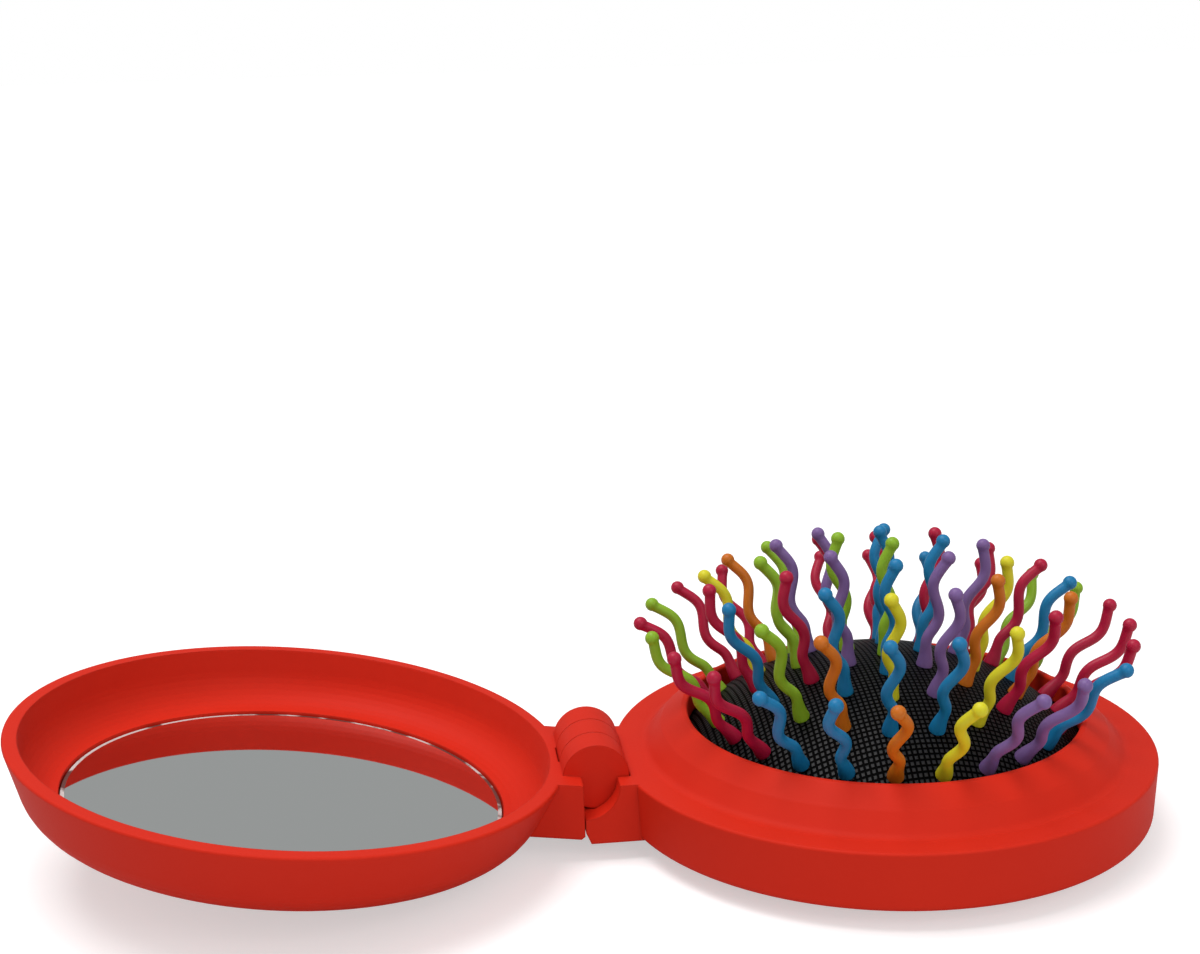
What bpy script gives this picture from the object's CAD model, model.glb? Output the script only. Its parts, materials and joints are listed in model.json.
"""Folding pocket hairbrush with a mirror in its lid, standing open.

The frame gives the case, the back ring, the lid and the hinge pin. Made here are the mirror glass,
the rubber cushion that snaps through to the back, its wavy ball-tipped bristles, and every finish.
Sizes are millimetres and degrees, and meshes are built in metres.
"""

import json
import math

import bpy
from mathutils import Matrix, Vector

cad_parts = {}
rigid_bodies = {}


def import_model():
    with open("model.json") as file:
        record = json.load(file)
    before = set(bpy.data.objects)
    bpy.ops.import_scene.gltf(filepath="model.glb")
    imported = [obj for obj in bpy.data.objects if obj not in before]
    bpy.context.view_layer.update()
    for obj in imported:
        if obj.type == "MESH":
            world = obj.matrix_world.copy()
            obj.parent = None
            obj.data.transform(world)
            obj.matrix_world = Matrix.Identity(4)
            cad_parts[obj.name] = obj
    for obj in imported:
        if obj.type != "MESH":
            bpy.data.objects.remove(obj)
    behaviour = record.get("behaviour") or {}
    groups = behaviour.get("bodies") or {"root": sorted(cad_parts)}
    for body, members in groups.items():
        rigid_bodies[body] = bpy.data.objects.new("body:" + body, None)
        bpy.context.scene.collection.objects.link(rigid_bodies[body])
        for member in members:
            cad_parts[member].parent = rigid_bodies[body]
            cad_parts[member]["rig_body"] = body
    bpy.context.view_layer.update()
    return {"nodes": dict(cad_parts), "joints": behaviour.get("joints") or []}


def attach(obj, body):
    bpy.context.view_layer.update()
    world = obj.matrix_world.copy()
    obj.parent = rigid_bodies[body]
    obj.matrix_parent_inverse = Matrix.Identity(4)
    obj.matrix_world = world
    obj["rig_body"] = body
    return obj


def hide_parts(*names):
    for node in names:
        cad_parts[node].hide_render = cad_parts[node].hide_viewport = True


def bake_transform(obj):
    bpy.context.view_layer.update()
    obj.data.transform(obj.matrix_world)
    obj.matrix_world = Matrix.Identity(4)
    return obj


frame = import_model()

# ---- sizes, as in the part ----

mm = 0.001
lid_joint = next(joint for joint in frame["joints"] if joint["name"] == "lid_fold")
axis_height = lid_joint["pos_m"][2] / mm  # of the hinge axis over the ground
open_lift = 8  # of the lid over flat, at its open stop
reach = 35.6  # from the hinge axis to the middle of each half

dome_r = 33.5
dome_h = 10.6
dome_z0 = dome_h - dome_r  # height of the middle of the dome's ball
cushion_t = 2.2
clamp_depth = 3.95  # of the clamped flange below the rim plane
flange_t = 1.2
flange_r = 29.6
flange_tuck = 0.1  # of the flange's inner edge under the dome's back
back_bend = 42  # degrees from the dome's pole, beyond which the back face narrows to the flange

mirror_r = 25.69
mirror_depth = 7.2
mirror_t = 0.9
mirror_bevel = 0.5
mirror_rim_drop = 0.02  # of the bevel's foot under the face
mirror_arris_w = 0.08  # of the broken edge between bevel and side
mirror_arris_h = 0.15

ring_pitch = 5.15
pattern_lean = 0.7  # of the pattern of bristles, towards the brush's free end
first_ring = 6  # bristles in the first ring, and as many more in each next one
ring_starts = [0, 18.4, 19, 17.6, 3.8]
outer_ring = len(ring_starts) - 1
ring_colours = [
    "L",
    "BBLPBP",
    "PMBPPLMBYPOY",
    "MMBMMLOYMBLOBBYMOB",
    "MLLMBMMLMMLMLMMBBOYPPBMM",
]
# Way of the first swing of each bristle: + away from the hinge
ring_waves = [
    "-",
    "-+-+--",
    "++-+++-+++++",
    "-+-+++++--+++++++-",
    "++++++-+-+++---+-+--+-++",
]
pair_starts = [1, 5, 8, 13, 16, 19, 22]  # of the outer ring's pairs, which share a node
bristle_l = 14.6
shaft_r = 0.65
foot_r = 0.97
foot_h = 1.1
tip_r = 0.85
wave_swing = 0.68
wave_count = 1.75
first_bend = 4.2  # height at which a bristle's wave has its full swing
head_r = 1.5

# Fineness of the meshes
mirror_sides = 160
skin_sides = 144
skin_row = 0.8
pole_r = 0.02  # of the last row of the skin, whose cap closes the pole
bristle_sides = 16
shaft_rows = 52
ball_angles = [-38, -20, 0, 20, 40, 58, 74, 86]  # of the rows on a ball tip
pocket_sides = 32


# ---- frames ----


def turned(axis, degrees):
    return Matrix.Rotation(math.radians(degrees), 4, axis)


def moved(x, y, z):
    return Matrix.Translation(Vector((x, y, z)) * mm)


brush_frame = moved(0, 0, axis_height)
brush_middle = brush_frame @ moved(reach, 0, 0)
lid_middle = brush_frame @ turned("Y", open_lift) @ moved(-reach, 0, 0)


# ---- meshes ----


def smooth_mesh(name, points, faces, *materials):
    """A mesh with the given points, in millimetres."""
    mesh = bpy.data.meshes.new(name)
    mesh.from_pydata([Vector(p) * mm for p in points], [], faces)
    mesh.shade_smooth()
    for material in materials:
        mesh.materials.append(material)
    return mesh


def put(name, data, place):
    """An object of that mesh, lamp or camera, at that place in the scene."""
    thing = bpy.data.objects.new(name, data)
    thing.matrix_world = place
    bpy.context.scene.collection.objects.link(thing)
    return thing


def tube_faces(rows, sides):
    """Faces that join rows of points into a tube, with its caps as the first and the last."""
    faces = [
        (row * sides + i, row * sides + (i + 1) % sides,
         (row + 1) * sides + (i + 1) % sides, (row + 1) * sides + i)
        for row in range(rows - 1)
        for i in range(sides)
    ]
    last = (rows - 1) * sides
    return [tuple(range(sides))[::-1], *faces, tuple(range(last, last + sides))]


def circle(radius, sides):
    return [
        (radius * math.cos(2 * math.pi * i / sides), radius * math.sin(2 * math.pi * i / sides))
        for i in range(sides)
    ]


def turned_points(profile, sides):
    """A profile of (radius, height) turned about Z."""
    return [(x, y, z) for r, z in profile for x, y in circle(r, sides)]


# ---- materials ----


white = (1, 1, 1, 1)


def grey(level):
    return (level, level, level, 1)


def colour(hex_code):
    """The linear colour of an sRGB hex value."""
    parts = [int(hex_code[i:i + 2], 16) / 255 for i in (1, 3, 5)]
    linear = [c / 12.92 if c <= 0.04045 else ((c + 0.055) / 1.055) ** 2.4 for c in parts]
    return (*linear, 1)


def add(material, kind, inputs=(), **settings):
    """A node with its settings, and with values or links on its inputs."""
    node = material.node_tree.nodes.new(kind)
    for name, value in settings.items():
        setattr(node, name, value)
    for name, value in dict(inputs).items():
        socket = node.inputs[name]
        if isinstance(value, bpy.types.NodeSocket):
            material.node_tree.links.new(value, socket)
        else:
            socket.default_value = value
    return node


def new_material(name):
    """A new material, and the texture space of its object, in metres."""
    material = bpy.data.materials.new(name)
    material.use_nodes = True
    material.node_tree.nodes.clear()
    return material, add(material, "ShaderNodeTexCoord").outputs["Object"]


def noise(material, place, grain, detail):
    """Noise with a grain of that many millimetres."""
    inputs = {"Vector": place, "Scale": 1 / (grain * mm), "Detail": detail}
    return add(material, "ShaderNodeTexNoise", inputs).outputs["Fac"]


def ramp(material, value, to_low, to_high, from_low=0, from_high=1, **settings):
    """The value, mapped from its own range to another."""
    inputs = {
        "Value": value, "From Min": from_low, "From Max": from_high, "To Min": to_low, "To Max": to_high,
    }
    return add(material, "ShaderNodeMapRange", inputs, **settings).outputs["Result"]


def mix(material, share, first, second):
    inputs = {"Factor": share, "A": first, "B": second}
    return add(material, "ShaderNodeMix", inputs, data_type="RGBA").outputs["Result"]


def tone(material, share, dark, light):
    """A colour between two sRGB hex values."""
    return mix(material, share, colour(dark), colour(light))


def maths(material, operation, *values):
    return add(material, "ShaderNodeMath", dict(enumerate(values)), operation=operation).outputs[0]


def bump(material, height, depth, strength, **base):
    """A surface normal with relief of that many millimetres, on a base Normal where one is given."""
    inputs = {"Height": height, "Strength": strength, "Distance": depth * mm, **base}
    return add(material, "ShaderNodeBump", inputs).outputs["Normal"]


def surfaced(material, inputs):
    """The material, ended with a Principled surface of these inputs."""
    surface = add(material, "ShaderNodeBsdfPrincipled", inputs)
    add(material, "ShaderNodeOutputMaterial", {"Surface": surface.outputs["BSDF"]})
    return material


def moulded_case_plastic():
    """ABS, moulded in red orange with a fine spark-eroded matt: a soft sheen and no clear reflection."""
    material, place = new_material("moulded_case_plastic")
    # The mould's grit is about 0.1 mm, and is drawn at 0.25 mm so that it shows
    grit = noise(material, place, grain=0.25, detail=2)
    cloud = noise(material, place, grain=14, detail=3)
    # The mould's edges are broken by a small radius
    soft_edge = add(material, "ShaderNodeBevel", {"Radius": 0.3 * mm}, samples=4)
    return surfaced(material, {
        "Base Color": tone(material, cloud, "#CC2412", "#D42C17"),
        "Roughness": ramp(material, grit, 0.52, 0.64),
        "Normal": bump(material, grit, depth=0.03, strength=0.35, Normal=soft_edge.outputs["Normal"]),
        "IOR": 1.54,
        "Specular IOR Level": 0.1,
    })


def woven_face_rubber():
    """Black rubber, moulded against a woven cloth: rows of small square knots with dark lines between."""
    material, place = new_material("woven_face_rubber")
    parts = add(material, "ShaderNodeSeparateXYZ", {"Vector": place})
    thread_pitch = 0.62 * mm
    threads = []
    for axis in ("X", "Y"):
        turns = maths(material, "MULTIPLY", parts.outputs[axis], math.pi / thread_pitch)
        threads.append(maths(material, "ABSOLUTE", maths(material, "COSINE", turns)))
    knot = maths(material, "MINIMUM", *threads)
    height = ramp(material, knot, 0, 1, from_low=0.35, from_high=0.7, interpolation_type="SMOOTHSTEP")
    return surfaced(material, {
        "Base Color": tone(material, height, "#000000", "#151416"),
        "Normal": bump(material, height, depth=0.2, strength=1.0),
        "Roughness": 0.5,
        "IOR": 1.52,
        # Only the knots shine: little light comes back from the lines between them
        "Specular IOR Level": ramp(material, height, 0.02, 0.3),
    })


def smooth_back_rubber():
    """Black rubber off a polished mould: a dull, slightly cloudy gloss."""
    material, place = new_material("smooth_back_rubber")
    cloud = noise(material, place, grain=5, detail=4)
    return surfaced(material, {
        "Base Color": tone(material, cloud, "#161517", "#232124"),
        "Roughness": ramp(material, cloud, 0.36, 0.50),
        "IOR": 1.52,
    })


def moulded_nylon(name, dark, light):
    """Dyed nylon, moulded: a waxy gloss, and light that passes into the thin shaft."""
    material, place = new_material(f"moulded_nylon_{name}")
    cloud = noise(material, place, grain=1.5, detail=2)
    return surfaced(material, {
        "Base Color": tone(material, cloud, dark, light),
        "Roughness": 0.45,
        "IOR": 1.53,
        "Specular IOR Level": 0.3,
        "Subsurface Weight": 0.25,
        "Subsurface Radius": (1.0, 0.8, 0.7),
        "Subsurface Scale": 0.5 * mm,
    })


def silvered_glass():
    """Float glass, silvered behind: a clear, slightly cool reflection."""
    material, place = new_material("silvered_glass")
    haze = noise(material, place, grain=9, detail=3)
    return surfaced(material, {
        "Base Color": colour("#E9EDEC"),
        "Metallic": 1,
        "Roughness": ramp(material, haze, 0.01, 0.03),
    })


def ground_glass_edge():
    """The mirror's edge, ground with a fine wheel: a bright, broken line of light."""
    material, place = new_material("ground_glass_edge")
    chips = noise(material, place, grain=0.8, detail=3)
    runs = noise(material, place, grain=5, detail=4)
    lit = ramp(material, runs, 0, 1, from_low=0.46, from_high=0.54, interpolation_type="SMOOTHSTEP")
    return surfaced(material, {
        "Base Color": tone(material, lit, "#5E403C", "#CFC9C6"),
        "Roughness": 0.3,
        "Normal": bump(material, chips, depth=0.08, strength=0.6),
    })


def drawn_steel():
    """Steel wire, drawn: fine lines along the pin and a grey shine."""
    material, place = new_material("drawn_steel")
    stretch = 0.05  # of the noise along the pin, which draws it out into lines
    drawn = add(material, "ShaderNodeMapping", {"Vector": place, "Scale": (1, stretch, 1)})
    lines = noise(material, drawn.outputs["Vector"], grain=0.2, detail=2)
    return surfaced(material, {
        "Base Color": colour("#B9BABD"),
        "Metallic": 1,
        "Roughness": ramp(material, lines, 0.25, 0.45),
    })


def paper_floor():
    """White seamless paper, which keeps the shadow and shows white to the camera."""
    material, place = new_material("paper_floor")
    rays = add(material, "ShaderNodeLightPath")
    fibre = noise(material, place, grain=3, detail=3)
    # Far from the lamps the paper is as white as near the object
    far = add(material, "ShaderNodeVectorMath", {0: place}, operation="LENGTH").outputs["Value"]
    glow = ramp(material, far, 0.5, 1.0, from_low=0.1, from_high=1.2)
    return surfaced(material, {
        "Base Color": tone(material, fibre, "#D2D2D2", "#D8D8D8"),
        "Roughness": 0.9,
        "Emission Color": white,
        "Emission Strength": maths(material, "MULTIPLY", rays.outputs["Is Camera Ray"], glow),
    })


case_plastic = moulded_case_plastic()
front_rubber = woven_face_rubber()
back_rubber = smooth_back_rubber()
mirror_silver = silvered_glass()
mirror_edge = ground_glass_edge()
nylons = {
    "L": ("lime", moulded_nylon("lime", "#81A91B", "#90B92C")),
    "Y": ("yellow", moulded_nylon("yellow", "#D0C81B", "#DCD42C")),
    "O": ("orange", moulded_nylon("orange", "#BF640A", "#CD7218")),
    "M": ("crimson", moulded_nylon("crimson", "#A80631", "#B7143F")),
    "B": ("blue", moulded_nylon("blue", "#0D70A3", "#1A7FB1")),
    "P": ("purple", moulded_nylon("purple", "#73558E", "#83669E")),
}


# ---- case ----


def paint(node, material):
    """Gives a frame node its finish."""
    mesh = frame["nodes"][node].data
    mesh.materials.clear()
    mesh.materials.append(material)


for case_node in ("brush_shell", "back_ring", "lid_shell"):
    paint(case_node, case_plastic)
paint("hinge_pin", drawn_steel())


# ---- mirror ----


def make_mirror():
    """A round plate of silvered glass with a narrow ground rim, which is very nearly flat."""
    top = -mirror_depth
    profile = [
        (mirror_r, top - mirror_t),
        (mirror_r, top - mirror_arris_h),
        (mirror_r - mirror_arris_w, top - mirror_rim_drop),
        (mirror_r - mirror_bevel, top),
    ]
    points = turned_points(profile, mirror_sides)
    faces = tube_faces(len(profile), mirror_sides)
    mesh = smooth_mesh("mirror_glass", points, faces, mirror_silver, mirror_edge)
    for face in mesh.polygons:
        face.use_smooth = False
        is_front = len(face.vertices) == mirror_sides and face.normal.z > 0
        face.material_index = 0 if is_front else 1
    glass = put("mirror_glass", mesh, lid_middle)
    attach(glass, "lid")
    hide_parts("mirror")


make_mirror()


# ---- cushion ----

# Where one strip of the skin ends and the next begins, as steps of the blend
skin_steps = [0.12, 0.26, 0.40, 0.55, 0.68, 0.78, 0.86, 0.93, 1.0]


def smooth_step(t):
    return t * t * (3 - 2 * t)


def skin_angle(share):
    """Angle from the dome's pole at which its front has risen to that share of its height."""
    z = -clamp_depth + share * (dome_h + clamp_depth)
    return math.acos(min(1, (z - dome_z0) / dome_r))


def back_width(angle):
    """Radius round Z of the back face, between its open and its popped place, which meets the flange."""
    kept = math.radians(back_bend)
    share = max(0, min(1, (angle - kept) / (skin_angle(0) - kept)))
    return (dome_r - share * cushion_t) * math.sin(angle)


def skin_strip(name, radius, low_step, high_step, material):
    """One strip round a face of the dome. It blends to the centre's travel, so that it turns inside out."""
    is_back = radius < dome_r
    angles = [skin_angle(smooth_step(low_step)), skin_angle(smooth_step(high_step))]
    rows = max(2, round(radius * (angles[0] - angles[1]) / skin_row))
    profile = []
    for row in range(rows + 1):
        a = angles[0] + (angles[1] - angles[0]) * row / rows
        width = back_width(a) if is_back else radius * math.sin(a)
        profile.append((max(width, pole_r), dome_z0 + radius * math.cos(a)))
    faces = tube_faces(len(profile), skin_sides)[1:]
    if high_step < 1:
        faces.pop()
    if is_back:
        faces = [face[::-1] for face in faces]
    strip = put(name, smooth_mesh(name, turned_points(profile, skin_sides), faces, material), brush_middle)
    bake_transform(strip)
    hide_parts("cushion")


def flange_mesh():
    """The flat edge of the cushion, clamped between the shell and the back ring."""
    top = -clamp_depth + flange_t / 2
    low = top - flange_t
    inner_r = math.sqrt((dome_r - cushion_t) ** 2 - (low - dome_z0) ** 2) - flange_tuck
    profile = [(inner_r, top), (flange_r, top), (flange_r, low), (inner_r, low), (inner_r, top)]
    faces = tube_faces(len(profile), skin_sides)[1:-1]
    return smooth_mesh("cushion_flange", turned_points(profile, skin_sides), faces, back_rubber)


def make_cushion():
    for i, (low, high) in enumerate(zip(skin_steps, skin_steps[1:]), 1):
        skin_strip(f"cushion_front_{i}", dome_r, low, high, front_rubber)
        skin_strip(f"cushion_back_{i}", dome_r - cushion_t, low, high, back_rubber)
    flange = put("cushion_flange", flange_mesh(), brush_middle)
    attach(flange, "brush")


make_cushion()


# ---- bristles ----

# Heights from the dome and radii: the nubbed head behind the rubber, its neck and the flared foot
head_rows = [
    (-2.60, 0.36), (-2.60, 0.40), (-2.54, 0.47), (-2.47, 0.50), (-2.47, 0.80), (-2.42, 1.15),
    (-2.28, 1.40), (-2.05, head_r), (-1.35, head_r), (-1.30, 1.45), (-1.30, shaft_r), (-0.2, shaft_r),
]
foot_rows = [(-0.2, foot_r), (0.1, foot_r), (0.4, 0.95), (foot_h, 0.84), (1.6, 0.76), (2.4, shaft_r)]


def wave_swing_at(height):
    """How far the shaft's middle is off its axis. The swing grows over the first bend."""
    grown = max(0, min(1, height / first_bend)) ** 2
    return wave_swing * grown * math.sin(2 * math.pi * wave_count * height / bristle_l)


def wave_middle(height, side):
    """Middle of the shaft at that height, and the way it runs there."""
    step = 0.05
    slope = side * (wave_swing_at(height + step) - wave_swing_at(height - step)) / (2 * step)
    return Vector((side * wave_swing_at(height), 0, height)), Vector((slope, 0, 1)).normalized()


def ring_round(middle, way, radius):
    """A ring of points round a bristle's middle, square to the way that it runs."""
    out = Vector((way.z, 0, -way.x))
    return [middle + out * x + Vector((0, y, 0)) for x, y in circle(radius, bristle_sides)]


def bristle_mesh(name, side, material):
    """A wavy shaft with its ball tip, foot and head. Side is the way of its first swing."""
    start = foot_rows[-1][0]
    end = bristle_l - 2 * tip_r
    rows = [*head_rows, *foot_rows]
    rows += [(start + (end - start) * i / shaft_rows, shaft_r) for i in range(1, shaft_rows + 1)]
    points = []
    for height, radius in rows:
        points += ring_round(*wave_middle(height, side), radius)
    ball, way = wave_middle(bristle_l - tip_r, side)
    for angle in ball_angles:
        a = math.radians(angle)
        points += ring_round(ball + way * tip_r * math.sin(a), way, tip_r * math.cos(a))
    faces = tube_faces(len(rows) + len(ball_angles), bristle_sides)
    return smooth_mesh(name, points, faces, material)


def pocket_mesh():
    """The low rubber collar and the dark floor round a bristle's head, on the back of the dome."""
    profile = [
        (2.46, -1.0), (2.42, -2.02), (2.32, -2.22), (2.12, -2.36),
        (1.98, -2.37), (1.90, -2.30), (1.40, -2.27),
    ]
    faces = [face[::-1] for face in tube_faces(len(profile), pocket_sides)[1:-1]]
    return smooth_mesh("pocket", turned_points(profile, pocket_sides), faces, back_rubber)


def bristle_place(ring, number):
    """On the dome, along its normal there. The waves of all bristles lie in nearly parallel planes."""
    count = max(1, first_ring * ring)
    bearing = ring_starts[ring] + 360 * number / count
    tilt = math.degrees(math.asin(ring * ring_pitch / dome_r))
    return (
        brush_middle @ moved(0, 0, dome_z0) @ turned("Y", pattern_lean)
        @ turned("Z", bearing) @ turned("Y", tilt) @ moved(0, 0, dome_r) @ turned("Z", -bearing)
    )


def bristle_node(ring, number):
    """Name of the frame node that holds this bristle."""
    if ring == 0:
        return "bristle_centre"
    for start in pair_starts:
        if ring == outer_ring and number in (start, start + 1):
            return f"bristles_{ring}_{start + 1}_{start + 2}"
    return f"bristle_{ring}_{number + 1}"


def make_bristles():
    meshes = {
        (letter, side): bristle_mesh(f"bristle_{name}_{side}", side, nylon)
        for letter, (name, nylon) in nylons.items()
        for side in (-1, 1)
    }
    pocket = pocket_mesh()
    for ring, letters in enumerate(ring_colours):
        for number, letter in enumerate(letters):
            node = bristle_node(ring, number)
            body = frame["nodes"][node]["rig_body"]
            place = bristle_place(ring, number)
            side = 1 if ring_waves[ring][number] == "+" else -1
            bristle = put(f"wavy_bristle_{ring}_{number + 1}", meshes[letter, side], place)
            collar = put(f"head_pocket_{ring}_{number + 1}", pocket, place)
            for thing in (bristle, collar):
                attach(thing, body)
            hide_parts(node)


make_bristles()


# ---- camera, floor and light ----


def make_camera():
    """Stands close in front, a little to the left and above."""
    yaw = math.radians(6.007)
    elevation = math.radians(14.04)
    roll = math.radians(-1.507)
    distance = 215.12
    target = Vector((2.061, 0, 34.357))
    back = Vector((
        -math.sin(yaw) * math.cos(elevation), -math.cos(yaw) * math.cos(elevation), math.sin(elevation),
    ))
    right = (-back).cross(Vector((0, 0, 1))).normalized()
    up = right.cross(-back)
    tipped_right = right * math.cos(roll) + up * math.sin(roll)
    tipped_up = up * math.cos(roll) - right * math.sin(roll)
    axes = Matrix((tipped_right, tipped_up, back)).transposed().to_4x4()
    place = brush_frame @ moved(*(target + back * distance)) @ axes
    camera = put("camera", bpy.data.cameras.new("camera"), place)
    camera.data.sensor_width = 36
    camera.data.lens = 55.889
    camera.data.clip_start = 10 * mm
    bpy.context.scene.camera = camera


def make_floor():
    half = 3000
    corners = [(-half, -half, 0), (half, -half, 0), (half, half, 0), (-half, half, 0)]
    mesh = smooth_mesh("floor", corners, [(0, 1, 2, 3)], paper_floor())
    floor = put("floor", mesh, Matrix())


def soft_lamp(name, place, width, watts):
    """A square softbox that faces the middle of the part. Its place and width are metres."""
    target = Vector((0, 0, 0.01))
    data = bpy.data.lights.new(name, "AREA")
    data.energy = watts
    data.size = width
    facing = (Vector(place) - target).to_track_quat("Z", "Y")
    put(name, data, Matrix.LocRotScale(Vector(place), facing, None))


def make_world():
    """An even grey studio, white where the camera looks straight at it."""
    world = bpy.data.worlds.new("studio")
    world.use_nodes = True
    world.node_tree.nodes.clear()
    rays = add(world, "ShaderNodeLightPath")
    shade = mix(world, rays.outputs["Is Glossy Ray"], grey(0.49), grey(0.36))
    seen = mix(world, rays.outputs["Is Camera Ray"], shade, white)
    light = add(world, "ShaderNodeBackground", {"Color": seen})
    add(world, "ShaderNodeOutputWorld", {"Surface": light.outputs["Background"]})
    bpy.context.scene.world = world


make_camera()
make_floor()
make_world()
soft_lamp("key_softbox", (-0.2, 0.02, 0.8), width=0.5, watts=4.5)
soft_lamp("fill_softbox", (0.3, -0.6, 0.4), width=0.4, watts=1.2)
bpy.context.scene.view_settings.view_transform = "Standard"
